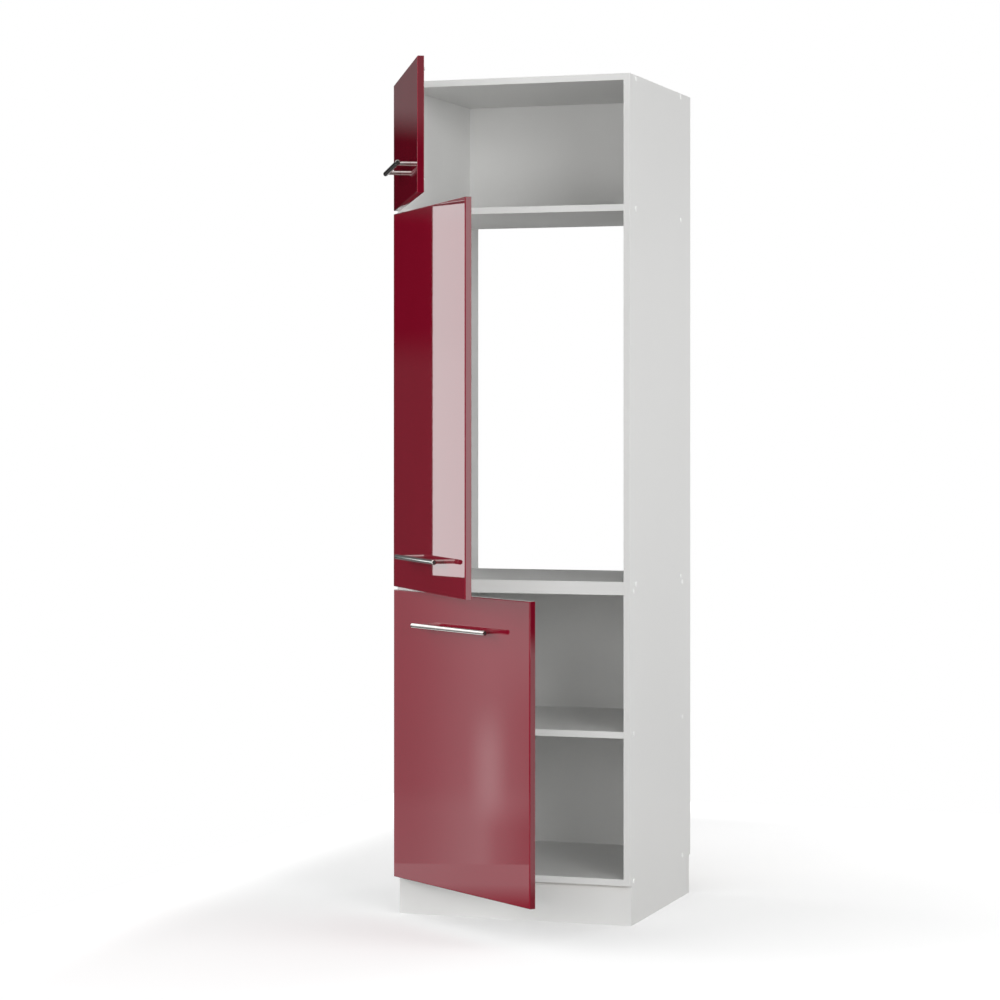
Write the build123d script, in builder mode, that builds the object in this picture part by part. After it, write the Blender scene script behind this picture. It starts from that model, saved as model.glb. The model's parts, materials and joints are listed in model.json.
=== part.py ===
from build123d import *
from math import cos, radians, sin
import os

# Tall housing unit for a built-in fridge, in millimetres: a white board carcass with a top box, an open-backed
# fridge niche and a lower cupboard, and three gloss doors hung on the left by single-joint cup hinges.
# X runs to the right, Y to the back and Z up, and the origin is the middle of the plinth board's foot, on the
# floor. The doors are built standing open, at the angles in open_angle.

# Carcass
carcass_w = 600.0
carcass_h = 2068.0
carcass_d = 568.0
board = 16.0                # thickness of every carcass board
plinth_h = 98.0
plinth_setback = 14.5       # from the carcass front edges back to the plinth's face
skirting_d = 14.0           # the rear feet stand this far forward of a wall skirting
lower_bay_h = 341.5         # clear heights of the two lower compartments and of the niche
middle_bay_h = 331.5
niche_h = 900.0
vent_gap = 35.0             # air gap between the wall and the boards around the niche
top_box_d = 500.0
back_t = 3.0                # hardboard back panels
groove_depth = 8.0
groove_play = 0.3

# Carcass screws, whose heads are hidden under caps
screw_head_r = 5.0
screw_head_h = 2.0
screw_core_r = 2.5
screw_grip = 34.0           # length inside the shelf end
screw_play = 0.1
vent_board_screws = (55.0, 59.0)    # from the front and rear edges of boards with the air gap behind
full_board_screws = (36.0, 75.0)    # and of boards that reach the back panel
cap_r = 6.5
cap_t = 1.4
cap_edge = 0.6

# Doors
door_names = ("lower", "middle", "top")
door_t = 16.0
door_side_gap = 1.0         # each side of a closed door, to the carcass's outer faces
door_gap = 8.0              # between one door and the next, at the middle of the board behind
door_drop = 3.0             # the lower door's bottom edge below the bottom shelf
door_top_gap = 9.0          # the top door's top edge below the carcass's top
door_clearance = 3.0        # closed door to the carcass front edges
open_angle = {"lower": 37.6, "middle": 53.5, "top": 64.2}
door_front_round = 2.5
door_back_round = 1.0

# Single-joint cup hinges
hinge_count = {"lower": 2, "middle": 3, "top": 2}
hinge_inset = 80.0          # door end to the nearest hinge
pin_from_edge = 5.0         # pin axis from the door's hinge edge
pin_depth = 3.0             # pin axis from the door's inner face
pin_r = 1.25
pin_play = 0.06
cup_r = 17.5
cup_rim = 5.0               # door edge to the cup hole
cup_depth = 11.0
cup_wall = 1.5
cup_play = 0.15
flange_t = 1.2
flange_rim = 1.0            # flange past the cup hole
cup_screw_reach = 24.0      # cup screws above and below the cup's centre
cup_screw_offset = 6.0      # and further from the door's edge
cup_screw_r = 2.0
cup_screw_l = 10.0
ear_r = 6.5
nose_wall = 2.2             # door left between its edge and the slot for the knuckle
cheek_t = 3.4
eye_r = 2.2
tongue_t = 2.5
tongue_half = 4.0           # half the tongue's height
bend_r = 0.2                # inside its bends
side_play = 0.4
arm_rise = 9.0              # the arm's underside above the side panel
arm_t = 1.5
arm_half = 8.0
arm_l = 60.0                # from the carcass front edge to the arm's end
arm_start = 12.0
plate_t = 2.5
plate_screw_y = 37.0        # the standard drilling line behind the front edge
plate_screw_reach = 16.0
plate_screw_r = 2.5
plate_screw_l = 11.0
plate_ear_r = 7.0
clamp_y = 50.0
clamp_r = 2.0
clamp_l = 5.0
small_head_h = 1.6
buffer_r = 4.0
buffer_play = 0.3
buffer_inset = 30.0

# Bar handles
handle_l = 320.0
handle_r = 6.0
post_inset = 32.0           # post axis from the bar's end
handle_reach = 32.0         # bar axis to the door's face
handle_inset = 80.0         # bar axis to the door's nearer end
post_r = 5.0
handle_screw_r = 2.0
handle_screw_bite = 12.0
handle_head_r = 4.0
handle_head_h = 2.2
bar_edge = 0.6

# Plinth brackets, nails and joining screws
bracket_leg = 25.0
bracket_t = 2.5
bracket_h = 40.0
bracket_screw_r = 2.0
bracket_screw_l = 12.0
bracket_screw_out = 15.0    # screw from the bracket's corner
bracket_head_r = 3.6
join_side = 84.0            # joining screws from the side panels
join_ends = 100.0           # and from the front and rear edges
join_r = 1.75
join_l = 28.0
join_head_r = 3.5
join_head_h = 2.2
nail_side = 44.0            # outer nails from the side panels
nail_r = 0.8
nail_l = 22.0
nail_head_r = 2.0
nail_head_h = 0.8

# Levels and planes that follow from the sizes above
inner_w = carcass_w - 2 * board
front_y = -(plinth_setback + board / 2)
rear_y = front_y + carcass_d
toe_y = board / 2
bottom_z = plinth_h
middle_z = bottom_z + board + lower_bay_h
support_z = middle_z + board + middle_bay_h
fridge_z = support_z + board
upper_z = fridge_z + board + niche_h
top_z = carcass_h - board
vent_d = carcass_d - vent_gap
full_d = carcass_d - back_t
inner_left = -inner_w / 2
back_w = inner_w + 2 * (groove_depth - groove_play)

lower_split = support_z + board / 2
upper_split = upper_z + board / 2
door_bottom = {
    "lower": bottom_z - door_drop,
    "middle": lower_split + door_gap / 2,
    "top": upper_split + door_gap / 2,
}
door_top = {
    "lower": lower_split - door_gap / 2,
    "middle": upper_split - door_gap / 2,
    "top": carcass_h - door_top_gap,
}
door_w = carcass_w - 2 * door_side_gap
pivot_x = -door_w / 2 + pin_from_edge
pivot_y = front_y - door_clearance - pin_depth
cup_x = cup_rim + cup_r - pin_from_edge      # from the pin, along the door
knuckle_depth = pin_depth + eye_r + side_play
bar_out = door_t - pin_depth + handle_reach

os.makedirs("parts", exist_ok=True)


def save(part, label):
    part.label = label
    export_step(part, f"parts/{label}.step")


def door_plane(name, out):
    """Plane along an open door, OUT in front of its pin axis: local x from the pin, local y straight up."""
    turn = radians(open_angle[name])
    facing = (-sin(turn), -cos(turn), 0)
    along = (cos(turn), -sin(turn), 0)
    return Plane(origin=(pivot_x, pivot_y, 0), x_dir=along, z_dir=facing).offset(out)


def hinge_levels(name):
    low = door_bottom[name] + hinge_inset
    high = door_top[name] - hinge_inset
    step = (high - low) / (hinge_count[name] - 1)
    return [low + i * step for i in range(hinge_count[name])]


def handle_level(name):
    if name == "lower":
        return door_top[name] - handle_inset
    return door_bottom[name] + handle_inset


def handle_posts(name):
    middle = door_w / 2 - pin_from_edge
    reach = handle_l / 2 - post_inset
    return [(middle + side * reach, handle_level(name)) for side in (-1, 1)]


# The six boards between the sides: underside level, depth and screw lines
boards = {
    "bottom_shelf": (bottom_z, full_d, full_board_screws),
    "middle_shelf": (middle_z, full_d, full_board_screws),
    "fridge_shelf_support": (support_z, full_d, full_board_screws),
    "fridge_shelf": (fridge_z, vent_d, vent_board_screws),
    "upper_shelf": (upper_z, vent_d, vent_board_screws),
    "top_panel": (top_z, vent_d, vent_board_screws),
}


def screw_lines(name):
    z, depth, (front_inset, rear_inset) = boards[name]
    return [(front_y + y, z + board / 2) for y in (front_inset, depth - rear_inset)]


screw_points = [point for name in boards for point in screw_lines(name)]
join_x = inner_w / 2 - join_side
join_points = [(x, front_y + y) for x in (-join_x, join_x) for y in (join_ends, vent_d - join_ends)]
nail_x = inner_w / 2 - nail_side
nailed_boards = ("bottom_shelf", "middle_shelf", "fridge_shelf_support")
nail_points = [(x, boards[name][0] + board / 2) for name in nailed_boards for x in (-nail_x, 0, nail_x)]
plinth_screw_z = plinth_h / 2


def side_panel(side):
    inside = Plane.YZ.offset(side * inner_w / 2)
    with BuildPart() as panel:
        with BuildSketch(inside):
            with BuildLine():
                foot_y = rear_y - skirting_d
                Polyline(
                    (toe_y, 0), (foot_y, 0), (foot_y, plinth_h), (rear_y, plinth_h), (rear_y, carcass_h),
                    (front_y, carcass_h), (front_y, plinth_h), (toe_y, plinth_h), close=True)
            make_face()
        extrude(amount=side * board)
        # Groove for the top box's back and rebate for the lower back
        groove_foot = upper_z + board - groove_depth
        with BuildSketch(inside):
            with Locations((front_y + top_box_d, groove_foot)):
                Rectangle(back_t + groove_play, carcass_h - groove_foot, align=(Align.MIN, Align.MIN))
            with Locations((rear_y - back_t, plinth_h)):
                Rectangle(back_t, fridge_z - plinth_h, align=(Align.MIN, Align.MIN))
        extrude(amount=side * groove_depth, mode=Mode.SUBTRACT)
        # Carcass screws pass right through, with their heads sunk in the outer face
        with BuildSketch(inside):
            with Locations(*screw_points):
                Circle(screw_core_r + screw_play)
        extrude(amount=side * board, mode=Mode.SUBTRACT)
        with BuildSketch(inside.offset(side * board)):
            with Locations(*screw_points):
                Circle(screw_head_r + screw_play)
        extrude(amount=-side * screw_head_h, mode=Mode.SUBTRACT)
        # Pilot hole of the plinth bracket's screw
        with BuildSketch(inside):
            with Locations((toe_y + bracket_screw_out, plinth_screw_z)):
                Circle(bracket_screw_r)
        extrude(amount=side * (bracket_screw_l - bracket_t), mode=Mode.SUBTRACT)
        if side < 0:
            with BuildSketch(inside):
                with Locations(*plate_screw_points()):
                    Circle(plate_screw_r)
            extrude(amount=-plate_screw_l, mode=Mode.SUBTRACT)
    return panel.part


def plate_screw_points(names=door_names):
    levels = [z for name in names for z in hinge_levels(name)]
    return [(front_y + plate_screw_y, z + s * plate_screw_reach) for z in levels for s in (-1, 1)]


save(side_panel(-1), "left_side_panel")
save(side_panel(1), "right_side_panel")


def shelf(name):
    z, depth = boards[name][:2]
    grooved = name in ("upper_shelf", "top_panel")
    with BuildPart() as body:
        with BuildSketch(Plane.XY.offset(z)):
            with Locations((0, front_y)):
                Rectangle(inner_w, depth, align=(Align.CENTER, Align.MIN))
        extrude(amount=board)
        for side in (-1, 1):
            with BuildSketch(Plane.YZ.offset(side * inner_w / 2)):
                with Locations(*screw_lines(name)):
                    Circle(screw_core_r + screw_play)
            extrude(amount=-side * screw_grip, mode=Mode.SUBTRACT)
        # Grooves that hold the top box's back
        if grooved:
            mouth, into = (z + board, -1) if name == "upper_shelf" else (z, 1)
            with BuildSketch(Plane.XY.offset(mouth)):
                with Locations((0, front_y + top_box_d)):
                    Rectangle(inner_w, back_t + groove_play, align=(Align.CENTER, Align.MIN))
            extrude(amount=into * groove_depth, mode=Mode.SUBTRACT)
        # Joining screws of the doubled fridge shelf, sunk in the lower board
        if name == "fridge_shelf_support":
            with BuildSketch(Plane.XY.offset(z)):
                with Locations(*join_points):
                    Circle(join_r + screw_play)
            extrude(amount=board, mode=Mode.SUBTRACT)
            with BuildSketch(Plane.XY.offset(z)):
                with Locations(*join_points):
                    Circle(join_head_r + screw_play)
            extrude(amount=join_head_h, mode=Mode.SUBTRACT)
        if name == "fridge_shelf":
            with BuildSketch(Plane.XY.offset(z)):
                with Locations(*join_points):
                    Circle(join_r + screw_play)
            extrude(amount=join_l - board, mode=Mode.SUBTRACT)
        if name in nailed_boards:
            with BuildSketch(Plane.XZ.offset(-(rear_y - back_t))):
                with Locations(*[point for point in nail_points if z < point[1] < z + board]):
                    Circle(nail_r)
            extrude(amount=nail_l - back_t, mode=Mode.SUBTRACT)
    return body.part


for board_name in boards:
    save(shelf(board_name), board_name)

with BuildPart() as plinth_board:
    with BuildSketch():
        Rectangle(carcass_w, board)
    extrude(amount=plinth_h)
    plinth_screw_x = inner_w / 2 - bracket_screw_out
    with BuildSketch(Plane.XZ.offset(-toe_y)):
        with Locations((-plinth_screw_x, plinth_screw_z), (plinth_screw_x, plinth_screw_z)):
            Circle(bracket_screw_r)
    extrude(amount=bracket_screw_l - bracket_t, mode=Mode.SUBTRACT)
save(plinth_board.part, "plinth_board")

# Back panels: the lower one is nailed into a rebate, the top one stands in grooves
with BuildPart() as lower_back_panel:
    with BuildSketch(Plane.XZ.offset(-rear_y)):
        with Locations((0, plinth_h)):
            Rectangle(back_w, fridge_z - plinth_h, align=(Align.CENTER, Align.MIN))
    extrude(amount=back_t)
    with BuildSketch(Plane.XZ.offset(-rear_y)):
        with Locations(*nail_points):
            Circle(nail_r)
    extrude(amount=back_t, mode=Mode.SUBTRACT)
save(lower_back_panel.part, "lower_back_panel")

with BuildPart() as top_back_panel:
    panel_foot = upper_z + board - groove_depth
    with BuildSketch(Plane.XZ.offset(-(front_y + top_box_d))):
        with Locations((0, panel_foot)):
            panel_h = top_z + groove_depth - groove_play - panel_foot
            Rectangle(back_w, panel_h, align=(Align.CENTER, Align.MIN))
    extrude(amount=-back_t)
save(top_back_panel.part, "top_back_panel")


def screws(seats, head_r, head_h, core_r, length):
    """Screws or nails with their heads standing on the seat planes and their shanks behind them."""
    with BuildPart() as group:
        for seat in seats:
            with BuildSketch(seat):
                Circle(head_r)
            extrude(amount=head_h)
            with BuildSketch(seat):
                Circle(core_r)
            extrude(amount=-length)
    return group.part


def seat(point, facing):
    return Plane(origin=point, z_dir=facing)


# Carcass screws and the caps that cover them
sunk_x = carcass_w / 2 - screw_head_h
carcass_seats = [seat((side * sunk_x, y, z), (side, 0, 0)) for side in (-1, 1) for y, z in screw_points]
shank = board - screw_head_h + screw_grip
save(screws(carcass_seats, screw_head_r, screw_head_h, screw_core_r, shank), "carcass_screws")

with BuildPart() as screw_caps:
    for side in (-1, 1):
        with BuildSketch(Plane.YZ.offset(side * carcass_w / 2)):
            with Locations(*screw_points):
                Circle(cap_r)
        extrude(amount=side * cap_t)
        outer_faces = screw_caps.faces().filter_by(Axis.X).filter_by_position(
            Axis.X, side * (carcass_w / 2 + cap_t) - 0.1, side * (carcass_w / 2 + cap_t) + 0.1)
        chamfer(outer_faces.edges(), cap_edge)
save(screw_caps.part, "screw_caps")

join_seats = [seat((x, y, support_z + join_head_h), (0, 0, -1)) for x, y in join_points]
save(screws(join_seats, join_head_r, join_head_h, join_r, join_l - join_head_h), "shelf_joining_screws")

nail_seats = [seat((x, rear_y, z), (0, 1, 0)) for x, z in nail_points]
save(screws(nail_seats, nail_head_r, nail_head_h, nail_r, nail_l), "back_panel_nails")

# Angle brackets behind the plinth, one in each corner
with BuildPart() as plinth_brackets:
    for side in (-1, 1):
        corner = (side * inner_w / 2, toe_y)
        with BuildSketch(Plane.XY.offset(plinth_screw_z - bracket_h / 2)):
            with Locations(corner):
                foot = (Align.MIN if side < 0 else Align.MAX, Align.MIN)
                Rectangle(bracket_leg, bracket_t, align=foot)
                Rectangle(bracket_t, bracket_leg, align=foot)
        extrude(amount=bracket_h)
        with BuildSketch(Plane.XZ.offset(-toe_y)):
            with Locations((side * plinth_screw_x, plinth_screw_z)):
                Circle(bracket_screw_r + screw_play)
        extrude(amount=-bracket_t, mode=Mode.SUBTRACT)
        with BuildSketch(Plane.YZ.offset(side * inner_w / 2)):
            with Locations((toe_y + bracket_screw_out, plinth_screw_z)):
                Circle(bracket_screw_r + screw_play)
        extrude(amount=-side * bracket_t, mode=Mode.SUBTRACT)
save(plinth_brackets.part, "plinth_brackets")

plinth_seats = []
for side in (-1, 1):
    plinth_seats.append(seat((side * plinth_screw_x, toe_y + bracket_t, plinth_screw_z), (0, 1, 0)))
    side_x = side * (inner_w / 2 - bracket_t)
    plinth_seats.append(seat((side_x, toe_y + bracket_screw_out, plinth_screw_z), (-side, 0, 0)))
save(screws(plinth_seats, bracket_head_r, small_head_h, bracket_screw_r, bracket_screw_l), "plinth_screws")


def door(name):
    back = door_plane(name, -pin_depth)
    across = Axis((0, 0, 0), back.z_dir)
    with BuildPart() as panel:
        with BuildSketch(back):
            with Locations((-pin_from_edge, door_bottom[name])):
                Rectangle(door_w, door_top[name] - door_bottom[name], align=(Align.MIN, Align.MIN))
        extrude(amount=door_t)
        fillet(panel.faces().sort_by(across)[-1].edges(), door_front_round)
        fillet(panel.faces().sort_by(across)[0].edges(), door_back_round)
        with BuildSketch(back):
            with Locations(*[(cup_x, z) for z in hinge_levels(name)]):
                Circle(cup_r)
        extrude(amount=cup_depth + side_play, mode=Mode.SUBTRACT)
        # Slot from each cup towards the edge, for the knuckle and its two cheeks
        with BuildSketch(back):
            with Locations(*[(nose_wall - pin_from_edge, z) for z in hinge_levels(name)]):
                slot_h = 2 * (tongue_half + side_play + cheek_t + cup_play)
                Rectangle(cup_x, slot_h, align=(Align.MIN, Align.CENTER))
        extrude(amount=knuckle_depth + cup_play, mode=Mode.SUBTRACT)
        with BuildSketch(back):
            with Locations(*cup_screw_points(name)):
                Circle(cup_screw_r)
        extrude(amount=cup_screw_l, mode=Mode.SUBTRACT)
        with BuildSketch(back):
            with Locations(*handle_posts(name)):
                Circle(handle_screw_r + screw_play)
        extrude(amount=door_t, mode=Mode.SUBTRACT)
    return panel.part


def cup_screw_points(name):
    x = cup_x + cup_screw_offset
    return [(x, z + s * cup_screw_reach) for z in hinge_levels(name) for s in (-1, 1)]


def hinge_cup(name, z):
    back = door_plane(name, -pin_depth)
    cheek_out = tongue_half + side_play + cheek_t
    with BuildPart() as cup:
        with BuildSketch(back):
            with Locations((cup_x, z)):
                Circle(cup_r + flange_rim)
            with Locations(*[(cup_x + cup_screw_offset, z + s * cup_screw_reach) for s in (-1, 1)]):
                Circle(ear_r)
            make_hull()
        extrude(amount=-flange_t)
        with BuildSketch(back):
            with Locations((cup_x, z)):
                Circle(cup_r - cup_play)
        extrude(amount=cup_depth)
        with BuildSketch(back):
            with Locations((nose_wall + cup_play - pin_from_edge, z)):
                Rectangle(cup_x, 2 * cheek_out, align=(Align.MIN, Align.CENTER))
        extrude(amount=knuckle_depth)
        with BuildSketch(door_plane(name, -pin_depth - flange_t)):
            with Locations((cup_x, z)):
                Circle(cup_r - cup_play - cup_wall)
        extrude(amount=flange_t + cup_depth - cup_wall, mode=Mode.SUBTRACT)
        # Slot in which the arm's knuckle turns
        with BuildSketch(door_plane(name, -pin_depth - flange_t)):
            with Locations((-pin_from_edge, z)):
                slot_h = 2 * (tongue_half + side_play)
                Rectangle(pin_from_edge + cup_x, slot_h, align=(Align.MIN, Align.CENTER))
        extrude(amount=flange_t + knuckle_depth, mode=Mode.SUBTRACT)
        with BuildSketch(door_plane(name, -pin_depth - flange_t)):
            with Locations(*[(cup_x + cup_screw_offset, z + s * cup_screw_reach) for s in (-1, 1)]):
                Circle(cup_screw_r + screw_play)
        extrude(amount=flange_t, mode=Mode.SUBTRACT)
        with BuildSketch(Plane.XY.offset(z)):
            with Locations((pivot_x, pivot_y)):
                Circle(pin_r)
        extrude(amount=cheek_out, both=True, mode=Mode.SUBTRACT)
    return cup.part


def hinge_arm(z):
    """Arm fixed to the side panel, which reaches round the panel's edge to the knuckle in the door."""
    neck_x = inner_left + side_play * 2 + tongue_t / 2
    web_x = inner_left + arm_rise + arm_t / 2
    bend_y = front_y + tongue_t / 2
    with BuildPart() as arm:
        with BuildSketch(Plane.XY.offset(z)):
            with BuildLine():
                FilletPolyline(
                    (pivot_x, pivot_y), (neck_x, pivot_y), (neck_x, bend_y), (web_x, bend_y + web_x - neck_x),
                    (web_x, front_y + arm_start + tongue_t), radius=tongue_t / 2 + bend_r)
            trace(line_width=tongue_t)
            with Locations((pivot_x, pivot_y)):
                Circle(eye_r)
                Circle(pin_r + pin_play, mode=Mode.SUBTRACT)
        extrude(amount=tongue_half, both=True)
        # Channel that sits over the mounting plate
        with BuildSketch(Plane.XY.offset(z)):
            with Locations((inner_left + arm_rise, front_y + arm_start)):
                Rectangle(arm_t, arm_l - arm_start, align=(Align.MIN, Align.MIN))
        extrude(amount=arm_half, both=True)
        for s in (-1, 1):
            with BuildSketch(Plane.XY.offset(z + s * arm_half)):
                with Locations((inner_left + arm_rise + arm_t, front_y + arm_start)):
                    cheek_h = arm_rise + arm_t - plate_t - side_play
                    Rectangle(cheek_h, arm_l - arm_start, align=(Align.MAX, Align.MIN))
            extrude(amount=-s * arm_t)
        with BuildSketch(Plane.YZ.offset(inner_left + arm_rise)):
            with Locations((front_y + clamp_y, z)):
                Circle(clamp_r + screw_play)
        extrude(amount=arm_t, mode=Mode.SUBTRACT)
    return arm.part


def mounting_plates(name):
    ridge_half = arm_half - arm_t - cup_play
    base = Plane.YZ.offset(inner_left)
    with BuildPart() as plates:
        for z in hinge_levels(name):
            with BuildSketch(base):
                with Locations(*[(front_y + plate_screw_y, z + s * plate_screw_reach) for s in (-1, 1)]):
                    Circle(plate_ear_r)
                make_hull()
                with Locations((front_y + arm_start + tongue_t, z)):
                    Rectangle(arm_l - arm_start - tongue_t, 2 * ridge_half, align=(Align.MIN, Align.CENTER))
            extrude(amount=plate_t)
            with BuildSketch(base):
                with Locations((front_y + arm_start + tongue_t, z)):
                    Rectangle(arm_l - arm_start - tongue_t, 2 * ridge_half, align=(Align.MIN, Align.CENTER))
            extrude(amount=arm_rise)
        with BuildSketch(base):
            with Locations(*plate_screw_points((name,))):
                Circle(plate_screw_r + screw_play)
        extrude(amount=plate_t, mode=Mode.SUBTRACT)
        with BuildSketch(Plane.YZ.offset(inner_left + arm_rise)):
            with Locations(*[(front_y + clamp_y, z) for z in hinge_levels(name)]):
                Circle(clamp_r)
        extrude(amount=-(clamp_l - arm_t), mode=Mode.SUBTRACT)
    return plates.part


def door_point(plane, x, y):
    return plane.from_local_coords((x, y, 0))


for name in door_names:
    back = door_plane(name, -pin_depth)
    front = door_plane(name, door_t - pin_depth)
    inward = -back.z_dir
    save(door(name), f"{name}_door")

    with BuildPart() as handle_bar:
        bar_x = door_w / 2 - pin_from_edge - handle_l / 2
        bar_start = door_point(door_plane(name, bar_out), bar_x, handle_level(name))
        with BuildSketch(Plane(origin=bar_start, z_dir=back.x_dir)):
            Circle(handle_r)
        extrude(amount=handle_l)
        chamfer(handle_bar.edges().filter_by(GeomType.CIRCLE), bar_edge)
    save(handle_bar.part, f"{name}_handle_bar")

    with BuildPart() as handle_post_pair:
        with BuildSketch(front):
            with Locations(*handle_posts(name)):
                Circle(post_r)
        extrude(amount=handle_reach)
        with BuildSketch(Plane(origin=bar_start, z_dir=back.x_dir)):
            Circle(handle_r)
        extrude(amount=handle_l, mode=Mode.SUBTRACT)
        with BuildSketch(front):
            with Locations(*handle_posts(name)):
                Circle(handle_screw_r)
        extrude(amount=handle_screw_bite, mode=Mode.SUBTRACT)
    save(handle_post_pair.part, f"{name}_handle_posts")

    post_seats = [seat(door_point(back, x, y), inward) for x, y in handle_posts(name)]
    handle_screws = screws(post_seats, handle_head_r, handle_head_h, handle_screw_r, door_t + handle_screw_bite)
    save(handle_screws, f"{name}_handle_screws")

    for number, z in enumerate(hinge_levels(name), 1):
        save(hinge_cup(name, z), f"{name}_hinge_cup_{number}")
        save(hinge_arm(z), f"{name}_hinge_arm_{number}")
    save(mounting_plates(name), f"{name}_hinge_plates")

    with BuildPart() as hinge_pins:
        pin_half = tongue_half + side_play + cheek_t
        for z in hinge_levels(name):
            with BuildSketch(Plane.XY.offset(z)):
                with Locations((pivot_x, pivot_y)):
                    Circle(pin_r)
            extrude(amount=pin_half, both=True)
    save(hinge_pins.part, f"{name}_hinge_pins")

    flange_top = door_plane(name, -pin_depth - flange_t)
    cup_seats = [seat(door_point(flange_top, x, y), inward) for x, y in cup_screw_points(name)]
    cup_screws = screws(cup_seats, bracket_head_r, small_head_h / 2, cup_screw_r, cup_screw_l + flange_t)
    save(cup_screws, f"{name}_hinge_cup_screws")

    buffer_levels = (door_bottom[name] + buffer_inset, door_top[name] - buffer_inset)
    with BuildPart() as buffers:
        with BuildSketch(back):
            buffer_x = inner_w / 2 + board / 2 - pivot_x
            with Locations(*[(buffer_x, z) for z in buffer_levels]):
                Circle(buffer_r)
        extrude(amount=-(door_clearance - buffer_play))
    save(buffers.part, f"{name}_door_buffers")

# Screws of the mounting plates and of the arms on them
plate_seats = [seat((inner_left + plate_t, y, z), (1, 0, 0)) for y, z in plate_screw_points()]
plate_screws = screws(plate_seats, bracket_head_r, small_head_h, plate_screw_r, plate_t + plate_screw_l)
save(plate_screws, "hinge_plate_screws")

clamp_x = inner_left + arm_rise + arm_t
clamp_levels = [z for name in door_names for z in hinge_levels(name)]
clamp_seats = [seat((clamp_x, front_y + clamp_y, z), (1, 0, 0)) for z in clamp_levels]
save(screws(clamp_seats, bracket_head_r, small_head_h, clamp_r, clamp_l), "hinge_clamp_screws")
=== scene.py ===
import json
from math import atan2, pi, radians

import bpy
from mathutils import Matrix, Vector


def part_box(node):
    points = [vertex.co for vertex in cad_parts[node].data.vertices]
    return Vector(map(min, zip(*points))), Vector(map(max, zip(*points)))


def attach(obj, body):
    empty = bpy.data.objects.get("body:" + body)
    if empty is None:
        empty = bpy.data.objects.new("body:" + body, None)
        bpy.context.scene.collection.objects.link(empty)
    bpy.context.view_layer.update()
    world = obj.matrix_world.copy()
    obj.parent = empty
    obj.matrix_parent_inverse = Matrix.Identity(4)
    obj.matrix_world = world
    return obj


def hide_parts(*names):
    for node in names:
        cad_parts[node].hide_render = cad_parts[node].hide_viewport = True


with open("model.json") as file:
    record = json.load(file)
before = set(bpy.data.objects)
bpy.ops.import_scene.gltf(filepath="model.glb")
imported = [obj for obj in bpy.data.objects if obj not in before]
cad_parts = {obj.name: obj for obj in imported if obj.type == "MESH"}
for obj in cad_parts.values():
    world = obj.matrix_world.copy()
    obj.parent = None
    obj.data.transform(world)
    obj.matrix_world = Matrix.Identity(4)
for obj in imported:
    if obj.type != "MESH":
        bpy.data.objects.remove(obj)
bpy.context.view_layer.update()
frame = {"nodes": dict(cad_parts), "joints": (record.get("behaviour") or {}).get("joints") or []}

# The photograph's camera, worked out from the carcass's corners
camera_place = (2.2653, -6.8493, 1.2182)
camera_turn = 18.57             # degrees round Z, to the left of straight back
camera_lens = 105.55
camera_shift = (-0.00136, -0.0761)

# Studio
floor_low = (-1.15, -1.7, 0.0)
floor_high = (2.0, 2.3, 0.0)
floor_border = 0.45             # width over which the floor turns as white as the background
floor_glow = 0.585
floor_least_shade = 0.3         # what is left of that glow where the floor is most enclosed
floor_tone = 0.63
floor_bounce = 0.45             # how pale it is for the light that it throws back on the object
floor_shade_reach = 1.6
floor_mirrored = 0.06           # how much of the white floor shows in gloss and metal, over this tone
floor_mirror_tone = (0.27, 0.25, 0.22)
floor_side_mirrored = 1.18      # and how bright gloss and metal show it further out to the sides
floor_side_middle = 0.225
floor_side_start = (0.675, 1.025)       # distances from that middle over which it turns that bright
room_light = 0.12
room_ceiling_rise = (5.3, 6.2, 60, 90)  # the pale ceiling in front, as gloss and metal mirror it
room_ceiling_light = 0.54
overhead_rise = (35, 42, 85, 90)        # the bright panel overhead in front, in mirrors
overhead_light = 1.1
left_panel_bearing = (34, 40, 120, 135)     # and the one on the left
left_panel_rise = (17, 24, 85, 90)
left_panel_light = 1.7
far_floor_rise = (-14, -9.5)            # where mirrors show the floor beyond the studio's own
far_floor_light = 0.15
wall_mirrored_end = (92, 100)   # bearings over which mirrors lose the wall
right_floor_bearing = (-125, -110, -85, -75)    # the pale floor to the right, in mirrors
right_floor_rise = (-30, -20, -4.6, -4.0)
right_floor_light = 1.2
wall_light = (0.60, 0.76)       # of the pale wall, from its darkest to its brightest cloud
wall_spots = (                  # brighter and darker places on it: bearings, rises and how much
    ((84.2, 86.2, 120, 130), (-60, -40, 40, 55), 0.56),
    ((85.9, 86.9, 120, 130), (-60, -40, -6.0, -4.2), -0.40),
    ((85.8, 86.2, 120, 130), (-60, -40, -8.0, -7.2), -0.35),
    ((85.5, 86.0, 86.0, 86.45), (-8.0, -6.9, -6.5, -5.2), 0.65),
    ((60, 70, 86, 88), (-40, -20, -7.6, -6.9), 0.15),
)
wall_bearing = (66, 80, 112, 130)       # degrees from straight back, to the left
wall_rise = (-40, -25, 40, 55)
wall_top_light = 1.0            # more light on it above the doors' reflections
wall_top_rise = (4, 14, 40, 55)
corner_bearing = (16, 24, 66, 76)       # the studio's dark back left corner
ceiling_rise = (7.76, 8.52, 60, 90)      # at a bearing of 0, and it comes down towards the left
ceiling_slope = 0.074
ceiling_light = 0.134
corner_gloom = 0.0035           # the faint light in the corner below that ceiling
carpet_rise = (-60, -30, 1.0, 1.9)
carpet_light = 0.05
backdrop_bearing = (7, 10, 20.5, 22)      # what the camera sees behind the object
backdrop_rise = (-8, -6, 9, 11)
backdrop_mirrored = 0.45
strip_size = (0.7, 1.25)
strip_light = 1.95
strip_tint = (0.92, 1.0, 1.0)
door_names = ("lower", "middle", "top")


def deselect():
    bpy.ops.object.select_all(action="DESELECT")


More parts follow.
